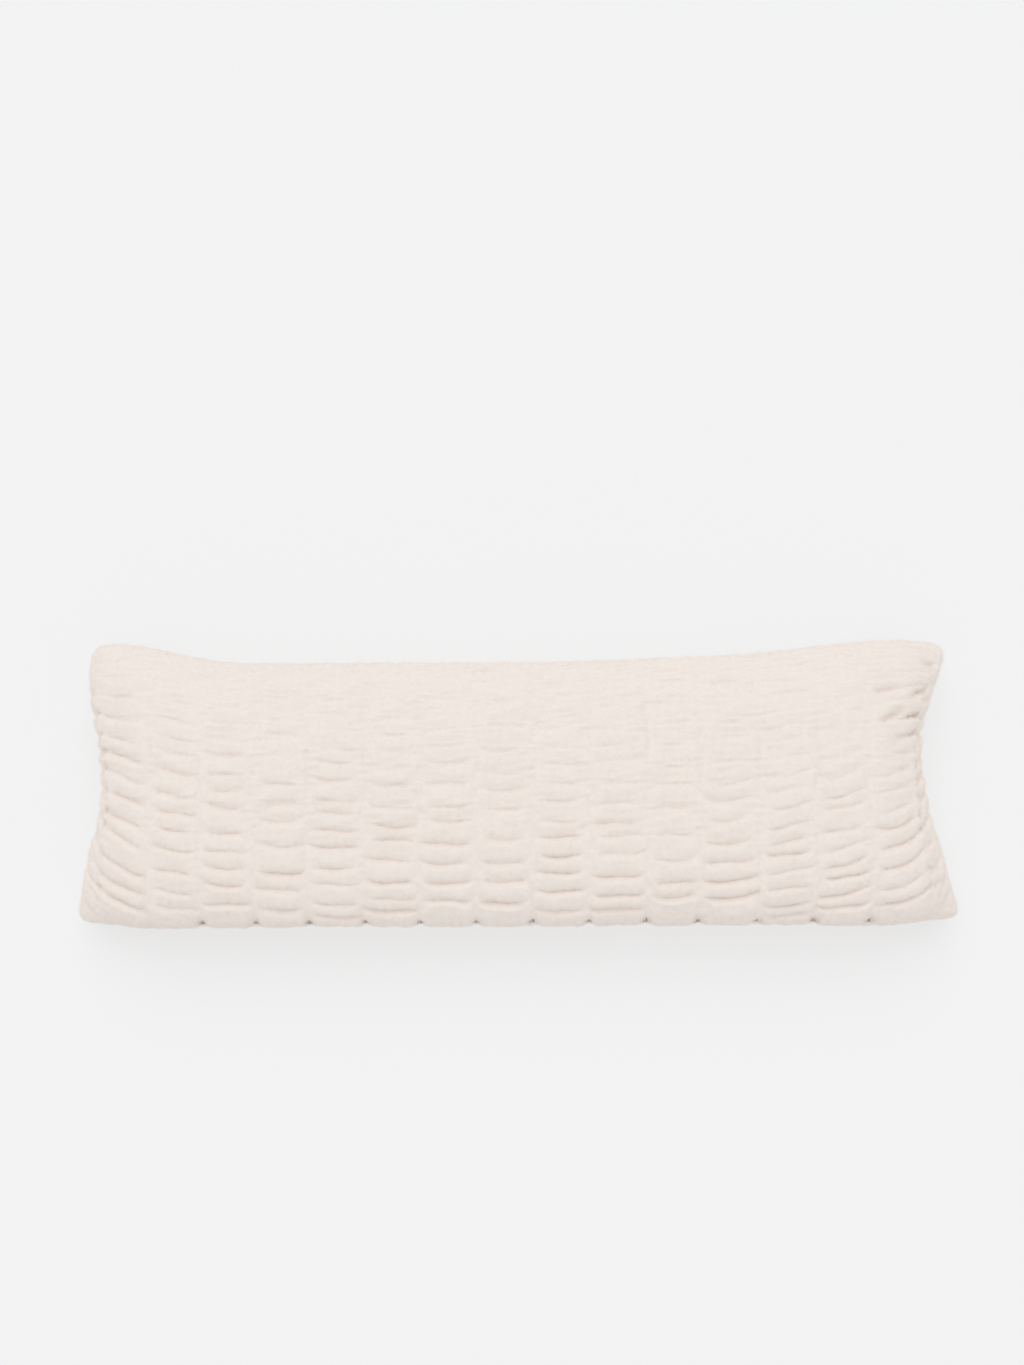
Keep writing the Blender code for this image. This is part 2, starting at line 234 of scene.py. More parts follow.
# The pile
PILE_STAND = 0.0034  # how high it stands over the cloth that it grows from
FIBRES_A_PIECE = 190_000
PILE_PIECES, PILE_SEED = 3, 100
FIBRE_LENGTH = (0.0042, 0.0070)
FIBRE_WIDTH = 0.0007
FIBRE_LEAN = (42, 76)  # degrees off upright
NAP = (0.10, -1.0, -1.1)  # the way that it is brushed
NAP_SHARE, STRAY = 0.65, 0.7  # how far a fibre follows that, and how far it strays
PILE_GLOW = 0.30  # how far its shading is turned upwards, for light that gets through it
UNEVEN_GLOW = 0.06  # how far that strays from fibre to fibre
# A fibre's tint, from 0 for dark to 1: the usual one, and how far clumps and single fibres stray from it
TINT, CLUMP_TINT, STRAY_TINT = 0.80, 0.10, 0.12
CLUMP_SIZE, CLUMP_SEED = 0.012, 50
DEEP_SHADE, DEEP_POWER = 0.60, 1.5  # how much darker painted shade makes it deep between ribs, and the power of that depth
GATHER_SHADE, GATHER_PITCH = 0.42, 0.0056  # how much darker painted shade makes it between the gathers above the low seam
# They come and go in patches: the usual share, how far it changes, size and seed
GATHER_SHARE, GATHER_CHANGE, GATHER_PATCH, GATHER_SEED = 0.8, 0.5, 0.05, 51
FIBRE_UV = (0.02, 0.98)  # the texture's V at a fibre's root and tip, and its least and greatest U
REST_CLEARANCE = 0.0008

# Linear colours of the plush, from its tips to its painted shade deep between the ribs, between the gathers
# and in pits
TIP_COLOUR = (0.887, 0.818, 0.768)
BODY_COLOUR = (0.852, 0.776, 0.720)
HOLLOW_SHADE_COLOUR = (0.710, 0.610, 0.535)
GATHER_SHADE_COLOUR = (0.520, 0.425, 0.360)
PIT_SHADE_COLOUR = (0.270, 0.210, 0.175)
HOLLOW_SHARE = 0.75  # how much of the painted hollow shade's colour there is at the deepest
ROOT_SHADE = 0.7  # painted shade at a fibre's root: how much of the tips' colour is missing there

# The cover's paint. Noise: stretch for each axis, scale, detail, roughness
PLUSH_NOISE = (
    ((1.6, 0.7, 1), 620.0, 3.0, 0.6),  # fibres
    ((1.6, 0.7, 1), 150.0, 2.0, 0.5),  # clumps
    ((1, 1, 1), 14.0, 2.0, 0.5),  # patches
    ((0.10, 1, 1), 95.0, 1.0, 0.4),  # wrinkles
)
FIBRE_TONE, CLUMP_TONE, PATCH_TONE = 0.30, 0.45, 0.25
FIBRE_BUMP, CLUMP_BUMP, WRINKLE_BUMP, BUMP_STRENGTH = 0.0006, 0.0010, 0.0008, 0.8
COVER_ROUGHNESS, PILE_ROUGHNESS = (0.86, 0.10), (0.88, 0.08)  # the least, and how much more at most
MARKS = ("hollow", "pit", "hem")  # where shade is painted: how deep between ribs, how dark a pit, how far among the gathers
SHEEN = {"Sheen Weight": 0.25, "Sheen Roughness": 0.45, "Sheen Tint": (1.0, 0.97, 0.94, 1)}

# The photo's camera, as fitted to the outline
CAMERA_DISTANCE = 3.0
CAMERA_LEAN = 12.2
CAMERA_ROLL = 0.27
FOCAL_PIXELS = 1923.0
PHOTO_HEIGHT = 1365
LOOK_HEIGHT = 0.09
OFF_CENTRE = (-6.0, 98.0)  # where the photo's middle lies from the pillow's, in pixels right and up
FILM = 36.0

# The studio
FLOOR_HALF, FLOOR_DROP = 60.0, 0.0005
FLOOR_COLOUR, FLOOR_GLOW = (0.31, 0.31, 0.312, 1), 0.56
WORLD_LIGHT = 0.64
SUNS = (  # name, strength, spread in degrees, where from
    ("key", 1.15, 60, (-0.08, 0.62, 1.0)),
    ("fill", 0.50, 110, (0.05, -1.0, 0.60)),
)


def smooth(x, start, end):
    """0 before start, 1 after end, and a smooth rise between them."""
    t = np.clip((x - start) / (end - start), 0, 1)
    return t * t * (3 - 2 * t)


def band(x, rise, fall):
    """A smooth rise from 0 to 1 over the first stretch, and a smooth fall back over the second."""
    return smooth(x, *rise) * (1 - smooth(x, *fall))


def added(name, data):
    """A new object in the scene."""
    piece = bpy.data.objects.new(name, data)
    bpy.context.scene.collection.objects.link(piece)
    return piece


# ---- the filled form, as in the solid


def turn_down(share, square, reach, height):
    """(across, up, length) for a share of the way down a rounded edge, from its crest to its seam.

    The edge is a quarter of the curve across^n + up^n = 1, n being square, stretched to reach by height.
    The share is of that stretched curve's length, so the cloth isn't bunched or thinned by it."""
    angle = np.linspace(0, np.pi / 2, CURVE_STEPS)
    across, up = np.sin(angle) ** (2 / square), np.cos(angle) ** (2 / square)
    up[-1] = 0
    length = np.concatenate([[0], np.cumsum(np.hypot(reach * np.diff(across), height * np.diff(up)))])
    at = np.clip(share, 0, 1) * length[-1]
    return np.interp(at, length, across), np.interp(at, length, up), length[-1]


def across_height(v, crest, low_square, high_square):
    """(place between the long sides from -1 to 1, share of the full crown) for a v of the cloth."""
    half = (HIGH_Y_MIDDLE - LOW_Y_MIDDLE) / 2
    low_reach, high_reach = half * (1 + crest), half * (1 - crest)
    low_length = turn_down(0, low_square, low_reach, CROWN)[2]
    high_length = turn_down(0, high_square, high_reach, CROWN)[2]
    crest_v = -1 + 2 * low_length / (low_length + high_length)
    low = turn_down((crest_v - v) / (crest_v + 1), low_square, low_reach, CROWN)
    high = turn_down((v - crest_v) / (1 - crest_v), high_square, high_reach, CROWN)
    place = np.where(v < crest_v, crest - low[0] * (1 + crest), crest + high[0] * (1 - crest))
    return place, np.where(v < crest_v, low[1], high[1])


def along_length(u):
    """(share of the way from an end's start to its seam, share of the full crown) for a u of the cloth."""
    reach = CORNER_X_LOW - RIGHT_WAIST - END_START * HALF_LENGTH
    turned = turn_down((np.abs(u) - END_START) / (1 - END_START), END_SQUARE, reach, CROWN)
    return turned[0], turned[1]


def low_side(u):
    """The low long side's Y: it bulges out a little between its corners."""
    return LOW_Y_MIDDLE + (LOW_Y_CORNER - LOW_Y_MIDDLE) * smooth(np.abs(u), *LOW_BEND)


def high_side(u):
    """The high long side's Y: a dip that rises late on the left and, in two steps, early on the right."""
    left = smooth(-u, *HIGH_LEFT_BEND)
    right = SLOPE_SHARE * smooth(u, *HIGH_RIGHT_SLOPE) + (1 - SLOPE_SHARE) * smooth(u, *HIGH_RIGHT_BEND)
    return HIGH_Y_MIDDLE + (HIGH_Y_LEFT - HIGH_Y_MIDDLE) * left + (HIGH_Y_RIGHT - HIGH_Y_MIDDLE) * right


def short_side(u, v):
    """How far out the short side nearest to u lies at v. Each is drawn in between its corners."""
    corner = CORNER_X_LOW + (CORNER_X_HIGH - CORNER_X_LOW) * (v + 1) / 2
    waist, waist_v = np.where(u > 0, RIGHT_WAIST, LEFT_WAIST), np.where(u > 0, RIGHT_WAIST_V, LEFT_WAIST_V)
    from_waist = (v - waist_v) / np.where(v < waist_v, 1 + waist_v, 1 - waist_v)
    below, above = (np.where(u > 0, right, left) for left, right in zip(LEFT_SHARPNESS, RIGHT_SHARPNESS))
    return corner - waist * np.clip(1 - from_waist**2, 0, 1) ** np.where(v < waist_v, below, above)


def corner_pull(along, half_cloth):
    """How far a rounded corner pulls the seam in, at a place along one side from -1 to 1."""
    pull = (1 - np.sqrt(0.5)) * CORNER_RADIUS
    return pull * np.abs(along) ** (half_cloth / pull)


def plan(u, v, place, crown, end_share, end_crown):
    """X and Y of a place on a panel: even between its sides low down, turned over the filling high up."""
    start = END_START * HALF_LENGTH
    t = np.clip((np.abs(u) - END_START) / (1 - END_START), 0, 1)
    out = (1 - crown) * t + crown * end_share
    x = np.where(t > 0, start + (short_side(u, v) - start) * out, np.abs(u) * HALF_LENGTH)
    x = x - corner_pull(v, HALF_HEIGHT) * smooth(np.abs(u), END_START, 1)
    share = (1 + (1 - end_crown) * v + end_crown * place) / 2
    y = low_side(u) + (high_side(u) - low_side(u)) * share
    return np.sign(u) * x, y - v * corner_pull(u, HALF_LENGTH)


def from_seam(u, v):
    """How much cloth lies between a place and the short side, and between it and the long side."""
    return (1 - np.abs(u)) * HALF_LENGTH, (1 - np.abs(v)) * HALF_HEIGHT


def edge_thickness(u, v):
    """The plush's own thickness beyond the filling: a quarter round at the seam, level further in."""
    near = np.clip(np.minimum(*from_seam(u, v)) / PLUSH_EDGE, 0, 1)
    return PLUSH_EDGE * np.sqrt(1 - (1 - near) ** 2)


def seam_level(u, v):
    """The seam's height: it drops to the low side as a cube, and at the corners as u^10 v^6."""
    low, corner = ((1 - v) / 2) ** 3, np.abs(u) ** 10 * np.abs(v) ** 6
    return SEAM_HEIGHT - SEAM_DROP_LOW * low - SEAM_DROP_CORNER * corner


def front(u, v):
    """The front panel without its ruching."""
    place, crown = across_height(v, CREST, LOW_SQUARE, HIGH_SQUARE)
    end_share, end_crown = along_length(u)
    x, y = plan(u, v, place, crown, end_share, end_crown)
    x = x - np.sign(u) * END_TUCK * (1 - v**6) * np.exp(-(1 - np.abs(u)) / END_TUCK_REACH)
    low_tuck = LOW_TUCK * np.exp(-(1 + v) / LOW_TUCK_REACH)
    high_tuck = HIGH_TUCK * np.exp(-(1 - v) / HIGH_TUCK_REACH)
    z = seam_level(u, v) + CROWN * end_crown * crown + edge_thickness(u, v)
    return np.stack([x, y + (low_tuck - high_tuck) * (1 - u**6), z], axis=-1)


def back(u, v):
    """The plain back panel, which lies flat on the surface where the filling presses it down."""
    place, crown = across_height(v, 0.0, BACK_SQUARE, BACK_SQUARE)
    end_share, end_crown = along_length(u)
    x, y = plan(u, v, place, crown, end_share, end_crown)
    x = x - np.sign(u) * END_TUCK * (1 - v**6) * smooth(np.abs(u), END_START, 1)
    tuck = LOW_TUCK * smooth(-v, 0, 1) - HIGH_TUCK * smooth(v, 0, 1)
    z = seam_level(u, v) - BELLY * end_crown * crown - edge_thickness(u, v)
    return np.stack([x, y + tuck * (1 - u**6), np.maximum(z, 0)], axis=-1)


def outward(panel, u, v, side):
    """A panel's outward direction: the cross product of its two slopes, turned over for the back."""
    u, v = np.clip(u, -1 + SLOPE_STEP, 1 - SLOPE_STEP), np.clip(v, -1 + SLOPE_STEP, 1 - SLOPE_STEP)
    along = panel(u + SLOPE_STEP, v) - panel(u - SLOPE_STEP, v)
    up = panel(u, v + SLOPE_STEP) - panel(u, v - SLOPE_STEP)
    normal = side * np.cross(along, up)
    return normal / np.linalg.norm(normal, axis=-1, keepdims=True)


# ---- unevenness


def rolling(x, y, size, seed):
    """A soft random landscape of about -1 to 1: the sum of sine waves of about one length, every way."""
    uneven = np.random.default_rng(seed)
    total = 0
    for _ in range(WAVES):
        direction, phase = uneven.uniform(0, 2 * np.pi, 2)
        length = size * uneven.uniform(*WAVE_RANGE)
        total = total + np.sin(2 * np.pi * (x * np.cos(direction) + y * np.sin(direction)) / length + phase)
    return total / np.sqrt(WAVES)


def bell(distance, size):
    """1 at no distance, and exp(-(distance / size)^2) further off."""
    return np.exp(-((distance / size) ** 2))


def eased(share, power):
    """1 at share 0, falling to 0 at share 1, steep at first and level at the end: (1 - share)^n."""
    return np.clip(1 - share, 0, 1) ** power


# ---- the ruching


def stitch_lines():
    """The u of each line between two columns, with both short sides."""
    widths = np.array([width for width, *_ in COLUMNS])
    return np.concatenate([[0], np.cumsum(widths)]) / widths.sum() * 2 - 1


class Creases:
    """The creases of one column, from low to high, with the two seams before and after them."""

    def __init__(self, number):
        self.width, ribs, first, climb = COLUMNS[number]
        self.rib = 2 * HALF_HEIGHT / ribs
        uneven = np.random.default_rng(UNEVEN_SEED + number)
        places = np.arange(ribs) + first + uneven.uniform(-WANDER, WANDER, ribs)
        depths = uneven.uniform(FAINTEST, 1, ribs)
        inside = (places > FIRST_CREASE) & (places < ribs - LAST_CREASE)
        self.v = np.concatenate([[-1], places[inside] * 2 / ribs - 1, [1]])
        self.depth = np.concatenate([[0], depths[inside], [0]])
        self.rows = np.round((self.v + 1) / 2 * ROWS).astype(int)
        count = len(self.v)
        ends = self.v**4
        self.climb = climb * (1 - TILT_GROWTH * self.v) * uneven.uniform(*CLIMB_RANGE, count) * (1 - ends)
        low = smooth(-self.v, *LOW_STRETCH)
        self.depth = self.depth * (1 + LOW_GROWTH * low)
        self.sag = uneven.uniform(*SAG, count) * (1 + SAG_LOW * low) * (1 - ends)
        self.lift = (LIFT + (LIFT_LOW - LIFT) * low) * (1 - self.v**8)
        self.wave = WAVE * (1 - ends)
        self.phase = uneven.uniform(0, 2 * np.pi, count)
        self.left = uneven.uniform(*LEFT_END, count) - LOW_REACH * low
        self.right = uneven.uniform(*RIGHT_END, count) + LOW_REACH * low
        self.flatness = uneven.uniform(0, 1, count)

    def offset(self, t):
        """How far each crease lies above its place, as v, for places t across the column: [t, crease]."""
        t = np.asarray(t)[:, None]
        tilt = self.climb * (t - 0.5)
        smile = self.sag * ((2 * t - 1) ** 2 - SAG_BELOW) + self.lift * (2 * t - 1) ** 6
        waver = self.wave * np.sin(2 * np.pi * t * WAVES_ACROSS + self.phase)
        return (tilt + smile + waver) / HALF_HEIGHT

    def strength(self, t):
        """How much of each crease's depth there is at places t across the column: [t, crease]."""
        t = np.asarray(t)[:, None]
        return smooth(t, self.left, self.left + FADE) * (1 - smooth(t, self.right - FADE, self.right))

    def between(self):
        """(number of the crease under each row, share of the way from it to the next)."""
        rows = np.arange(ROWS + 1)
        under = np.clip(np.searchsorted(self.rows, rows, side="right") - 1, 0, len(self.rows) - 2)
        share = (rows - self.rows[under]) / (self.rows[under + 1] - self.rows[under])
        return under, share - ROW_CROWDING * np.sin(2 * np.pi * share) / (2 * np.pi)

    def row_v(self, t):
        """v of every row at places t across the column, each crease lying on a row: [t, row]."""
        under, share = self.between()
        lines = self.v + self.offset(t)
        return lines[:, under] * (1 - share) + lines[:, under + 1] * share

    def fullness(self, v):
        """0 on a crease and 1 in the middle of a rib: sin^2 of the way between creases."""
        place = np.interp(v, self.v, np.arange(len(self.v)))
        return np.sin(np.pi * place) ** 2

    def pressed(self, t, v):
        """(how deep creases press the cloth in, how far ribs' undersides hang down) at [t, row], in m."""
        gap = (v[..., None] - (self.v + self.offset(t))[:, None, :]) * HALF_HEIGHT
        share = np.where(gap > 0, gap / (UNDERSIDE * self.rib), -gap / (TOPSIDE * self.rib))
        depth = RIB_CREASE * (self.depth * self.strength(t))[:, None, :]
        under = np.where(gap > 0, np.clip(share, 0, 1), 0)
        hang = OVERHANG * depth * under * (1 - under) * 4
        profile = np.where(gap > 0, eased(share, UNDER_POWER), eased(share, TOP_POWER))
        return (depth * profile).sum(-1), hang.sum(-1)

    def flattened(self, t):
        """How much lower each rib's face is than the fullest rib's: [t, row], in m."""
        under, share = self.between()
        across = 1 - (2 * np.asarray(t)[:, None] - 1) ** 2
        return SWELL * across * self.flatness[under] * np.sin(np.pi * share) ** 2


def line_share(number):
    """The share of a valley's depth along a line: none on the short sides, little on the puckered lines."""
    if number in (0, len(COLUMNS)):
        return 0.0
    return PUCKERED_VALLEY if number in PUCKERED_LINES else 1.0


def line_push(number, v):
    """How far a stitched line lies from its even place at v (m): a parabola through its three values."""
    for line, low, middle, high in LINE_PUSH:
        if line == number:
            return middle + (high - low) / 2 * v + ((high + low) / 2 - middle) * v**2
    return 0 * v


def stitched(columns, lines):
    """(u, v) of every row on each line between two columns. A rib's end bends it into the next crease."""
    line_u, line_v = [np.full(ROWS + 1, -1.0)], [columns[0].row_v([0])[0]]
    for number in range(1, len(columns)):
        before, after = columns[number - 1], columns[number]
        v = (before.row_v([1])[0] + after.row_v([0])[0]) / 2
        push = INTERLOCK * (before.fullness(v) - after.fullness(v)) * (1 - v**8) + line_push(number, v)
        line_u.append(lines[number] + push / HALF_LENGTH)
        line_v.append(v)
    return line_u + [np.full(ROWS + 1, 1.0)], line_v + [columns[-1].row_v([1])[0]]


def valleys(number, v, from_left, from_right):
    """How deep the stitched lines beside a column press the cloth in: exp(-distance^2) from each."""
    depth = VALLEY + (VALLEY_LOW - VALLEY) * smooth(-v, *VALLEY_STRETCH)
    left = line_share(number) * bell(from_left, VALLEY_WIDTH)
    return depth * (left + line_share(number + 1) * bell(from_right, VALLEY_WIDTH))


def pinches(number, v, from_left, from_right):
    """(depth, painted shade) of the pinches beside a column, exp(-distance^2) from each pinched line. Other
    lines count as a metre further off."""
    left = from_left + (number not in PINCHED_LINES)
    away = np.minimum(left, from_right + (number + 1 not in PINCHED_LINES))
    height = (1 + v) * HALF_HEIGHT
    depth = PINCH * bell(away, PINCH_WIDTH) * band(height, *PINCH_HEIGHTS)
    return depth, PIT_SHARE * bell(away, PIT_WIDTH) * band(height, *PIT_HEIGHTS)


def ruched_grid():
    """u, v, depth of the ruching, overhang, depth of folds and pinches (m) and painted shade of pits (0 to
    1) of the front panel's vertices: [line, row]."""
    columns = [Creases(number) for number in range(len(COLUMNS))]
    line_u, line_v = stitched(columns, stitch_lines())
    even = np.arange(COLUMN_LINES) / COLUMN_LINES
    spread = even - LINE_CROWDING * np.sin(2 * np.pi * even) / (2 * np.pi)
    u, v, deep, hang, pinch, pit = [], [], [], [], [], []
    for number, column in enumerate(columns):
        last = number == len(columns) - 1
        t = np.append(spread, 1.0) if last else spread
        across = t[:, None]
        own = column.row_v(t)
        near_left = 1 - smooth(across * column.width, 0, SHARE_REACH)
        near_right = 1 - smooth((1 - across) * column.width, 0, SHARE_REACH)
        to_left = line_v[number] - column.row_v([0])[0]
        to_right = line_v[number + 1] - column.row_v([1])[0]
        own = own + to_left * near_left + to_right * near_right
        pressed, overhang = column.pressed(t, own)
        place = (number, own, across * column.width, (1 - across) * column.width)
        pinched, dark = pinches(*place)
        u.append(line_u[number] + across * (line_u[number + 1] - line_u[number]))
        v.append(own)
        deep.append(pressed + column.flattened(t) + valleys(*place))
        hang.append(overhang)
        pinch.append(pinched)
        pit.append(dark)
    u, v, deep, hang, pinch, pit = (np.concatenate(part) for part in (u, v, deep, hang, pinch, pit))
    dented, dark = puckers(u, v, columns)
    return u, v, deep + dented, hang, pinch + corner_folds(u, v), np.maximum(pit, dark)


def puckers(u, v, columns):
    """(depth, painted shade) of pits where creases meet the outermost lines: exp(-distance^2) from each."""
    lines = stitch_lines()
    depth, dark = np.zeros_like(u), np.zeros_like(u)
    for line in PUCKERED_LINES:
        inner, t = (columns[line], 0) if line == 1 else (columns[line - 1], 1)
        for place, share in zip((inner.v + inner.offset([t])[0])[1:-1], inner.depth[1:-1]):
            at = lines[line] + line_push(line, place) / HALF_LENGTH
            away = np.hypot((u - at) * HALF_LENGTH, (v - place) * HALF_HEIGHT)
            depth += PUCKER * share * bell(away, PUCKER_SIZE)
            if DARK_PUCKERS[0] < place < DARK_PUCKERS[1]:
                dark = np.maximum(dark, DARK_SHARE * bell(away, DARK_SIZE))
    return depth, dark


def corner_folds(u, v):
    """The folds at the corners: soft grooves, exp(-across^2), that fade out along their length."""
    depth = np.zeros_like(u)
    for fold_u, fold_v, angle, length, deep in CORNER_FOLDS:
        x, y = (u - fold_u) * HALF_LENGTH, (v - fold_v) * HALF_HEIGHT
        angle = np.radians(angle)
        along, across = x * np.cos(angle) + y * np.sin(angle), y * np.cos(angle) - x * np.sin(angle)
        fade = 1 - smooth(np.abs(along) / length, *FOLD_FADE)
        depth += deep * fade * bell(across, FOLD_WIDTH)
    return depth


def seam_puckers(along, to_seam, depth, pitch, reach, rise, seed):
    """How deep the seam's puckers are: uneven waves along it that die out as exp(-distance)."""
    waves = depth * rolling(along, 0 * along, pitch, seed)
    return waves * np.exp(-to_seam / reach) * smooth(to_seam, 0, rise)


def front_points():
    """u, v, depth (m), painted shade of pits (0 to 1) and places of the front panel's vertices."""
    u, v, deep, hang, folded, pit = ruched_grid()
    to_short, to_long = from_seam(u, v)
    x, y = u * HALF_LENGTH, v * HALF_HEIGHT
    fade = smooth(to_long, 0, SIDE_FADE) * smooth(to_short, -END_FADE, END_FADE)
    near_end = smooth(np.abs(u), *END_STRETCH)
    ease = (1 - near_end) * HIGH_SIDE_EASE * smooth(v + EASE_SLOPE * u, *EASE_STRETCH)
    ease = ease + near_end * END_EASE * smooth(v, *END_EASE_STRETCH)
    corner = CORNER_EASE * smooth(np.abs(u), *CORNER_STRIP) * smooth(-v, *CORNER_STRETCH)
    fade = fade * (1 - ease) * (1 - corner)
    deep = deep * fade + folded * smooth(to_long, 0, SIDE_FADE)
    nearest = np.minimum(to_short, to_long)
    uneven = LUMP * (1 + rolling(x, y, LUMP_SIZE, LUMP_SEED))
    uneven = uneven + RIPPLE * rolling(x, y, RIPPLE_SIZE, RIPPLE_SEED)
    wrinkles = WRINKLE * rolling(x * WRINKLE_HEIGHT, y, WRINKLE_SIZE, WRINKLE_SEED)
    uneven = (uneven + wrinkles * smooth(v, *WRINKLED)) * smooth(nearest, 0, LEVEL_EDGE)
    seam = SEAM_GROOVE * np.exp(-nearest / SEAM_GROOVE_REACH)
    puckered = seam_puckers(x, to_long, *FRONT_PUCKER) * smooth(to_short, 0, LEVEL_EDGE)
    inset = PILE_STAND + deep + seam + puckered + uneven
    drooped = v - hang * fade / HALF_HEIGHT
    points = front(u, drooped) - inset[..., None] * outward(front, u, drooped, 1)
    coarse = (slice(None, None, FILL_STEP), slice(None, None, FILL_STEP))
    points = points + finer(filled_out(points[coarse], deep[coarse], v[coarse]))
    return u, v, deep, pit, points


# ---- the filling's pressure


def weigh(panel, name, shares):
    """A vertex group with the given shares, in tenths."""
    group = panel.vertex_groups.new(name=name)
    for tenths in range(1, 11):
        group.add(np.nonzero(np.round(shares.ravel() * 10) == tenths)[0].tolist(), tenths / 10, "REPLACE")


def blown_out(points, held, spare):
    """Places of a panel's vertices [line, row, axis] once the filling has pressed on it. Each is held, and
    has spare cloth around it, by the given shares."""
    lines, rows = held.shape
    data = bpy.data.meshes.new("filling")
    data.from_pydata(points.reshape(-1, 3).tolist(), [], grid_quads(lines, rows).tolist())
    panel = added("filling", data)
    weigh(panel, "held", held)
    weigh(panel, "taut", 1 - spare)
    cloth = panel.modifiers.new("filling", "CLOTH")
    cloth.collision_settings.use_collision = False
    settings = cloth.settings
    for name, value in STIFFNESS.items():
        setattr(settings, f"{name}_stiffness", value)
    settings.use_pressure = True
    settings.uniform_pressure_force = FILL_PRESSURE
    settings.vertex_group_mass = "held"
    settings.vertex_group_shrink = "taut"
    settings.shrink_min, settings.shrink_max = -SPARE_CLOTH, 0
    settings.effector_weights.gravity = 0
    for frame_number in range(1, FILL_FRAMES + 1):
        bpy.context.scene.frame_set(frame_number)
    blown = panel.evaluated_get(bpy.context.evaluated_depsgraph_get()).to_mesh()
    places = np.empty(points.size, np.float32)
    blown.vertices.foreach_get("co", places)
    bpy.data.objects.remove(panel)
    bpy.data.meshes.remove(data)
    bpy.context.scene.frame_set(1)
    return places.reshape(points.shape)


def filled_out(points, deep, v):
    """How far the filling moves each vertex of a panel, at most FILL_CAP: cloth with spare length, blown out
    between its seams, stitched lines and creases. Each round evens out the moves of neighbours."""
    held = np.clip(deep / HELD_DEPTH, 0, 1)
    spare = band(v, *SPARE_STRETCH)
    on_line = np.arange(len(deep)) % (COLUMN_LINES // FILL_STEP) == 0
    held = np.maximum(held, on_line[:, None] * (HELD_LINE_HIGH + (HELD_LINE - HELD_LINE_HIGH) * spare))
    held[0] = held[-1] = held[:, 0] = held[:, -1] = 1
    moved = blown_out(points, held, spare) - points
    for _ in range(SETTLED_ROUNDS):
        sides = moved[:-2, 1:-1] + moved[2:, 1:-1] + moved[1:-1, :-2] + moved[1:-1, 2:]
        moved[1:-1, 1:-1] = (moved[1:-1, 1:-1] + sides / 4) / 2
    far = np.linalg.norm(moved, axis=-1, keepdims=True)
    return moved * np.minimum(1, FILL_CAP / np.maximum(far, 1e-9))


def finer(values):
    """Values for every line and row from those of every second: between two, (9 (b + c) - a - d) / 16."""
    for _ in range(2):
        ends = np.concatenate([values[:1], values, values[-1:]])
        between = (9 * (ends[1:-2] + ends[2:-1]) - ends[:-3] - ends[3:]) / 16
        full = np.empty((2 * len(values) - 1, *values.shape[1:]))
        full[::2], full[1::2] = values, between
        values = full.swapaxes(0, 1)
    return values


def back_points(rim_u, rim_v):
    """u, v and places of the back panel's rings, from beside the seam to the flat: [ring, place]."""
    size = (np.abs(rim_u) ** FLAT_SQUARE + np.abs(rim_v) ** FLAT_SQUARE) ** (1 / FLAT_SQUARE)
    share = (np.arange(1, BACK_RINGS + 1) / BACK_RINGS)[:, None] ** RING_CROWDING
    u = rim_u + (FLAT_U * rim_u / size - rim_u) * share
    v = rim_v + (FLAT_V * rim_v / size - rim_v) * share
    to_short, to_long = from_seam(u, v)
    x, y = u * HALF_LENGTH, v * HALF_HEIGHT
    along, nearest = np.where(to_short < to_long, y, x), np.minimum(to_short, to_long)
    lumps = LUMP * (1 + rolling(x, y, LUMP_SIZE, BACK_LUMP_SEED)) * smooth(nearest, 0, LEVEL_EDGE)
    seam = SEAM_GROOVE * np.exp(-nearest / SEAM_GROOVE_REACH)
    inset = PILE_STAND + seam + seam_puckers(along, nearest, *BACK_PUCKER) + lumps
    inset = inset * (1 - smooth(share, *FLAT_START))
    points = back(u, v) - inset[..., None] * outward(back, u, v, -1)
    points[..., 2] = np.maximum(points[..., 2], REST_CLEARANCE)
    return u, v, points


# ---- the cover


def rim_places(lines, rows):
    """The numbers of the front panel's seam vertices, anticlockwise seen from above."""
    number = np.arange(lines * rows).reshape(lines, rows)
    return np.concatenate([number[:, 0], number[-1, 1:], number[-2::-1, -1], number[0, -2:0:-1]])


def grid_quads(lines, rows):
    """Faces of a grid of lines and rows of vertices."""
    number = np.arange(lines * rows).reshape(lines, rows)
    return np.stack([number[:-1, :-1], number[1:, :-1], number[1:, 1:], number[:-1, 1:]], -1).reshape(-1, 4)


def quads_between(outer, inner):
    """Faces between two closed rings of vertex numbers."""
    return np.stack([np.roll(outer, -1), outer, inner, np.roll(inner, -1)], axis=-1)


def panel_uv(u, v, high):
    """Where a place of a panel lies in the texture: the front in the upper half, the back in the lower."""
    across = UV_MARGIN + (1 - 2 * UV_MARGIN) * (u + 1) / 2
    up = UV_MARGIN + (0.5 - 2 * UV_MARGIN) * (v + 1) / 2
    return np.stack([across, up + 0.5 * high], axis=-1)


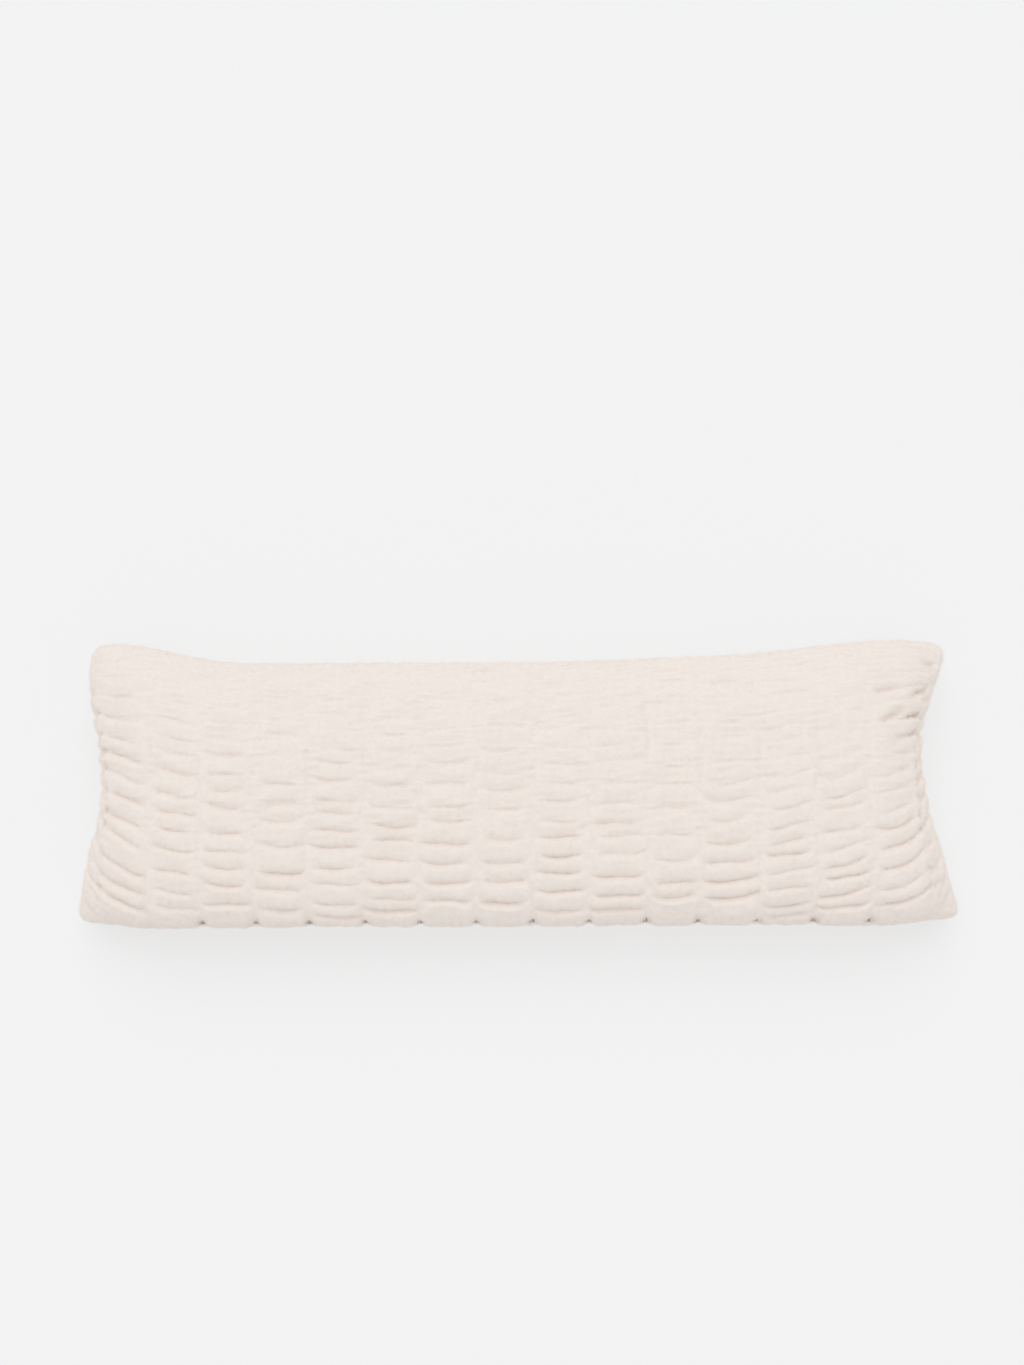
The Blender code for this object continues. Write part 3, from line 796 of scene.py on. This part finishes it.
def cover_arrays():
    """The whole cover: vertices, the three MARKS of each (0 to 1), quads, the back's middle face and the UVs
    of all faces' corners."""
    u, v, deep, pit, points = front_points()
    lines, rows = u.shape
    front_quads = grid_quads(lines, rows)
    rim = rim_places(lines, rows)
    rim_u, rim_v = u.ravel()[rim], v.ravel()[rim]
    ring_u, ring_v, ring_points = back_points(rim_u, rim_v)
    rings = lines * rows + np.arange(ring_u.size).reshape(ring_u.shape)
    back_quads = np.concatenate([quads_between(a, b) for a, b in zip(np.vstack([rim[None], rings]), rings)])
    middle = rings[-1][::-1]
    places = np.concatenate([points.reshape(-1, 3), ring_points.reshape(-1, 3)])
    height = (1 + v) * HALF_HEIGHT
    # Where painted shade darkens the cloth between the fine gathers above the low seam
    hem = band(height, *HEM_HEIGHTS) * (1 - smooth(np.abs(u), *HEM_SIDE))
    front_marks = np.stack([np.clip(deep / (RIB_CREASE + VALLEY), 0, 1), pit, hem], axis=-1)
    marks = np.concatenate([front_marks.reshape(-1, 3), np.zeros((ring_u.size, 3))])
    all_u, all_v = np.concatenate([u.ravel(), ring_u.ravel()]), np.concatenate([v.ravel(), ring_v.ravel()])
    quads = np.concatenate([front_quads, back_quads])
    corners = np.concatenate([quads.ravel(), middle])
    on_front = np.arange(len(corners)) < front_quads.size
    return places, marks, quads, middle, panel_uv(all_u[corners], all_v[corners], on_front)


def add_mesh(name, places, corners, starts, totals, uv, material):
    """A mesh object from arrays: vertices, all faces' corners, each face's first corner and size, UVs."""
    data = bpy.data.meshes.new(name)
    data.vertices.add(len(places))
    data.vertices.foreach_set("co", places.astype(np.float32).ravel())
    data.loops.add(len(corners))
    data.loops.foreach_set("vertex_index", corners.astype(np.int32))
    data.polygons.add(len(starts))
    data.polygons.foreach_set("loop_start", starts.astype(np.int32))
    data.polygons.foreach_set("loop_total", totals.astype(np.int32))
    data.update(calc_edges=True)
    layer = data.uv_layers.new(name="OFBake")
    layer.uv.foreach_set("vector", uv.astype(np.float32).ravel())
    data.shade_smooth()
    data.materials.append(material)
    data.validate()
    return added(name, data)


def add_cover():
    """The closed cover, its box's middle on the solid's."""
    places, marks, quads, middle, uv = cover_arrays()
    low, high = places.min(0), places.max(0)
    shift = (np.array(CAD_BOX[0]) + np.array(CAD_BOX[1]) - low - high) / 2
    shift[2] = 0
    starts = np.append(np.arange(len(quads)) * 4, len(quads) * 4)
    totals = np.append(np.full(len(quads), 4), len(middle))
    corners = np.concatenate([quads.ravel(), middle])
    cover = add_mesh("cover", places + shift, corners, starts, totals, uv, cover_plush())
    for name, values in zip(MARKS, marks.T):
        attribute = cover.data.attributes.new(name, "FLOAT", "POINT")
        attribute.data.foreach_set("value", values.astype(np.float32))
    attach(cover, "root")
    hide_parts("pillow")
    return cover, quads, marks


# ---- the pile


def unit(vectors):
    """The same directions, one long."""
    return vectors / np.maximum(np.linalg.norm(vectors, axis=-1, keepdims=True), 1e-9)


def scattered(cover, quads, marks, count, uneven):
    """(place, outward direction, marks) of fibre roots spread evenly over the cover: none where it rests,
    few in a pit."""
    places = np.empty(len(cover.data.vertices) * 3, np.float32)
    cover.data.vertices.foreach_get("co", places)
    normals = np.empty_like(places)
    cover.data.vertices.foreach_get("normal", normals)
    places, normals = places.reshape(-1, 3), normals.reshape(-1, 3)
    corner = places[quads]
    area = np.linalg.norm(np.cross(corner[:, 2] - corner[:, 0], corner[:, 3] - corner[:, 1]), axis=-1)
    area = area * (corner[..., 2].mean(1) > 2 * REST_CLEARANCE) * (1 - marks[quads, 1].max(1))
    reached = np.cumsum(area)
    chosen = quads[np.searchsorted(reached, uneven.random(count) * reached[-1])]
    a, b = uneven.random((2, count, 1))
    share = np.stack([(1 - a) * (1 - b), a * (1 - b), a * b, (1 - a) * b], axis=1)
    root = (places[chosen] * share).sum(1)
    normal = unit((normals[chosen] * share).sum(1))
    return root, normal, (marks[chosen] * share).sum(1)


def add_pile(name, cover, quads, marks, seed):
    """One piece of the pile: a narrow triangle for each fibre, leaning the way the plush is brushed."""
    count = FIBRES_A_PIECE
    uneven = np.random.default_rng(seed)
    root, normal, marks = scattered(cover, quads, marks, count, uneven)
    deep, hem = marks[:, 0], marks[:, 2]
    stray = uneven.normal(size=(count, 3))
    way = unit(np.array(NAP)) * NAP_SHARE + stray * (1 - NAP_SHARE) * STRAY
    way = unit(way - normal * (way * normal).sum(-1, keepdims=True))
    lean = np.radians(uneven.uniform(*FIBRE_LEAN, (count, 1)))
    length = uneven.uniform(*FIBRE_LENGTH, (count, 1))
    rise = normal * np.cos(lean) + way * np.sin(lean)
    side = np.cross(way, normal) * FIBRE_WIDTH / 2
    corner = np.stack([root - side, root + side, root + rise * length], axis=1)
    corner[..., 2] = np.maximum(corner[..., 2], REST_CLEARANCE / 2)
    x, y = root[:, 0], root[:, 1]
    gathers = (0.5 + 0.5 * np.sin(2 * np.pi * x / GATHER_PITCH)) ** 2
    patches = GATHER_SHARE + GATHER_CHANGE * rolling(x, 0 * x, GATHER_PATCH, GATHER_SEED)
    tone_and_shade = TINT + CLUMP_TINT * rolling(x, y, CLUMP_SIZE, CLUMP_SEED) + STRAY_TINT * uneven.normal(size=count)
    # Painted shade: darker deep between ribs and between the gathers above the low seam
    tone_and_shade = tone_and_shade - DEEP_SHADE * deep**DEEP_POWER - GATHER_SHADE * hem * gathers * np.clip(patches, 0, 1)
    fibre_u = np.repeat(np.clip(tone_and_shade, *FIBRE_UV)[:, None], 3, axis=1)
    uv = np.stack([fibre_u, np.tile([FIBRE_UV[0], *FIBRE_UV], (count, 1))], axis=-1)
    corners = np.arange(count * 3)
    pile = add_mesh(name, corner.reshape(-1, 3), corners, corners[::3], np.full(count, 3), uv, pile_plush())
    shading = unit(normal + PILE_GLOW * np.array([0, 0, 1]) + UNEVEN_GLOW * uneven.normal(size=(count, 3)))
    pile.data.normals_split_custom_set_from_vertices(np.repeat(shading, 3, axis=0))
    pile.visible_shadow = False
    pile.visible_diffuse = False
    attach(pile, "root")
    return pile


# ---- materials


class Number:
    """A socket that holds a number. Python's operators on it add Math nodes."""

    def __init__(self, shader, socket):
        self.shader, self.socket = shader, socket

    def math(self, operation, other=0.0, turned=False):
        """A Math node on this number and the other, with the other first where turned."""
        first, second = (other, self) if turned else (self, other)
        return self.shader.number("ShaderNodeMath", {"operation": operation}, {0: first, 1: second})

    def __add__(self, other):
        return self.math("ADD", other)

    __radd__ = __add__

    def __sub__(self, other):
        return self.math("SUBTRACT", other)

    def __rsub__(self, other):
        return self.math("SUBTRACT", other, turned=True)

    def __mul__(self, other):
        return self.math("MULTIPLY", other)

    __rmul__ = __mul__

    def __pow__(self, other):
        return self.math("POWER", other)

    def __rpow__(self, other):
        return self.math("POWER", other, turned=True)


class Shader:
    """A material and the means to add nodes to it."""

    def __init__(self, name):
        self.material = bpy.data.materials.new(name)
        self.material.use_nodes = True
        self.tree = self.material.node_tree
        self.tree.nodes.clear()

    def add(self, kind, settings, sockets, output=0):
        """Adds a node: its settings first, then its sockets' values or links. Gives one output, or None."""
        node = self.tree.nodes.new(kind)
        for name, value in settings.items():
            setattr(node, name, value)
        for name, value in sockets.items():
            value = value.socket if isinstance(value, Number) else value
            if isinstance(value, bpy.types.NodeSocket):
                self.tree.links.new(value, node.inputs[name])
            else:
                node.inputs[name].default_value = value
        return None if output is None else node.outputs[output]

    def number(self, kind, settings, sockets, output=0):
        """The same for a node whose output is a number."""
        return Number(self, self.add(kind, settings, sockets, output))

    def blend(self, share, first, second):
        """The colour a share of the way from the first to the second."""
        first, second = ((*c, 1) if isinstance(c, tuple) else c for c in (first, second))
        return self.add("ShaderNodeMix", {"data_type": "RGBA"}, {0: share, 6: first, 7: second}, 2)

    def noise(self, place, stretch, scale, detail, roughness):
        """Noise at a place whose axes are stretched."""
        place = self.add("ShaderNodeMapping", {}, {"Vector": place, "Scale": stretch})
        values = {"Vector": place, "Scale": scale, "Detail": detail, "Roughness": roughness}
        return self.number("ShaderNodeTexNoise", {}, values)

    def finish(self, sockets):
        """The material, with a surface of the given values."""
        surface = self.add("ShaderNodeBsdfPrincipled", {}, sockets)
        self.add("ShaderNodeOutputMaterial", {}, {"Surface": surface}, None)
        return self.material


def cover_plush():
    """The cloth under the pile: clumped and brushed, with warmer and darker painted shade deep between ribs,
    between the gathers and in pits.
    """
    shader = Shader("ivory_plush")
    place = shader.add("ShaderNodeTexCoord", {}, {}, "Object")
    fibres, clumps, patches, wrinkles = (shader.noise(place, *values) for values in PLUSH_NOISE)
    hollow, pit, hem = (
        shader.number("ShaderNodeAttribute", {"attribute_name": name}, {}, "Fac") for name in MARKS
    )
    along = shader.number("ShaderNodeSeparateXYZ", {}, {"Vector": place}, "X")
    gathers = 0.5 + 0.5 * (2 * np.pi / GATHER_PITCH * along).math("SINE")
    tone = FIBRE_TONE * fibres + CLUMP_TONE * clumps + PATCH_TONE * patches
    colour = shader.blend(tone, BODY_COLOUR, TIP_COLOUR)
    # Painted shade: deep between ribs, between the gathers above the low seam and in pits
    colour = shader.blend(HOLLOW_SHARE * hollow**DEEP_POWER, colour, HOLLOW_SHADE_COLOUR)
    colour = shader.blend(GATHER_SHADE * hem * gathers**2, colour, GATHER_SHADE_COLOUR)
    colour = shader.blend(pit, colour, PIT_SHADE_COLOUR)
    height = FIBRE_BUMP * fibres + CLUMP_BUMP * clumps + WRINKLE_BUMP * wrinkles
    bumps = {"Strength": BUMP_STRENGTH, "Distance": 1.0, "Height": height}
    normal = shader.add("ShaderNodeBump", {}, bumps, "Normal")
    roughness = COVER_ROUGHNESS[0] + COVER_ROUGHNESS[1] * clumps
    sockets = {"Base Color": colour, "Roughness": roughness, "Normal": normal, "Specular IOR Level": 0.25}
    return shader.finish({**sockets, **SHEEN})


def pile_plush():
    """The fibres: painted shade makes their root darker than their tip, and the texture's U gives each its
    own tone and painted shade.
    """
    shader = Shader("ivory_pile")
    map_place = shader.add("ShaderNodeUVMap", {"uv_map": "OFBake"}, {})
    tone_and_shade = shader.number("ShaderNodeSeparateXYZ", {}, {"Vector": map_place}, "X")
    up = shader.number("ShaderNodeSeparateXYZ", {}, {"Vector": map_place}, "Y")
    shade = shader.blend(tone_and_shade, HOLLOW_SHADE_COLOUR, BODY_COLOUR)
    colour = shader.blend(tone_and_shade * (1 - ROOT_SHADE * (1 - up)), shade, TIP_COLOUR)
    roughness = PILE_ROUGHNESS[0] + PILE_ROUGHNESS[1] * tone_and_shade
    return shader.finish({"Base Color": colour, "Roughness": roughness, "Specular IOR Level": 0.20, **SHEEN})


def floor_paint():
    """A matt pale floor that glows a little, so that the shade beside the pillow stays light."""
    glow = {"Emission Color": (1, 1, 1, 1), "Emission Strength": FLOOR_GLOW}
    return Shader("studio_floor").finish({"Base Color": FLOOR_COLOUR, "Roughness": 1.0, **glow})


# ---- the studio


def add_floor():
    """One large square under the pillow."""
    sides = ((-1, -1), (1, -1), (1, 1), (-1, 1))
    corners = [(x * FLOOR_HALF, y * FLOOR_HALF, -FLOOR_DROP) for x, y in sides]
    data = bpy.data.meshes.new("floor")
    data.from_pydata(corners, [], [(0, 1, 2, 3)])
    data.materials.append(floor_paint())
    added("floor", data)


def add_light():
    """A bright even room, a broad key light from beyond the high side, a softer fill from the low side."""
    world = bpy.data.worlds.new("studio")
    world.use_nodes = True
    background = world.node_tree.nodes["Background"]
    background.inputs["Color"].default_value = (1.0, 1.0, 1.0, 1)
    background.inputs["Strength"].default_value = WORLD_LIGHT
    bpy.context.scene.world = world
    for name, strength, spread, origin in SUNS:
        lamp = bpy.data.lights.new(name, "SUN")
        lamp.energy = strength
        lamp.angle = np.radians(spread)
        turned = Vector(origin).to_track_quat("Z", "Y").to_matrix().to_4x4()
        added(name, lamp).matrix_world = turned


def add_camera():
    """The photo's view: the camera looks down at the face, leaning towards the low side."""
    lean, roll = np.radians(CAMERA_LEAN), np.radians(CAMERA_ROLL)
    look = np.array([0, np.sin(lean), -np.cos(lean)])
    up, right = np.array([0, np.cos(lean), np.sin(lean)]), np.array([1.0, 0, 0])
    up, right = up * np.cos(roll) + right * np.sin(roll), right * np.cos(roll) - up * np.sin(roll)
    metres = CAMERA_DISTANCE / FOCAL_PIXELS
    place = np.array([0, 0, LOOK_HEIGHT]) - CAMERA_DISTANCE * look
    place = place + OFF_CENTRE[0] * metres * right + OFF_CENTRE[1] * metres * up
    lens = bpy.data.cameras.new("camera")
    lens.sensor_width = FILM
    lens.lens = FOCAL_PIXELS / PHOTO_HEIGHT * FILM
    camera = added("camera", lens)
    turned = np.column_stack([right, up, -look, place])
    camera.matrix_world = Matrix([*turned.tolist(), [0, 0, 0, 1]])
    bpy.context.scene.camera = camera


def main():
    """Builds the scene."""
    bpy.context.scene.view_settings.view_transform = "Standard"
    add_camera()
    add_light()
    add_floor()
    cover, quads, marks = add_cover()
    for number in range(PILE_PIECES):
        add_pile(f"pile_{number + 1}", cover, quads, marks, PILE_SEED + number)


main()
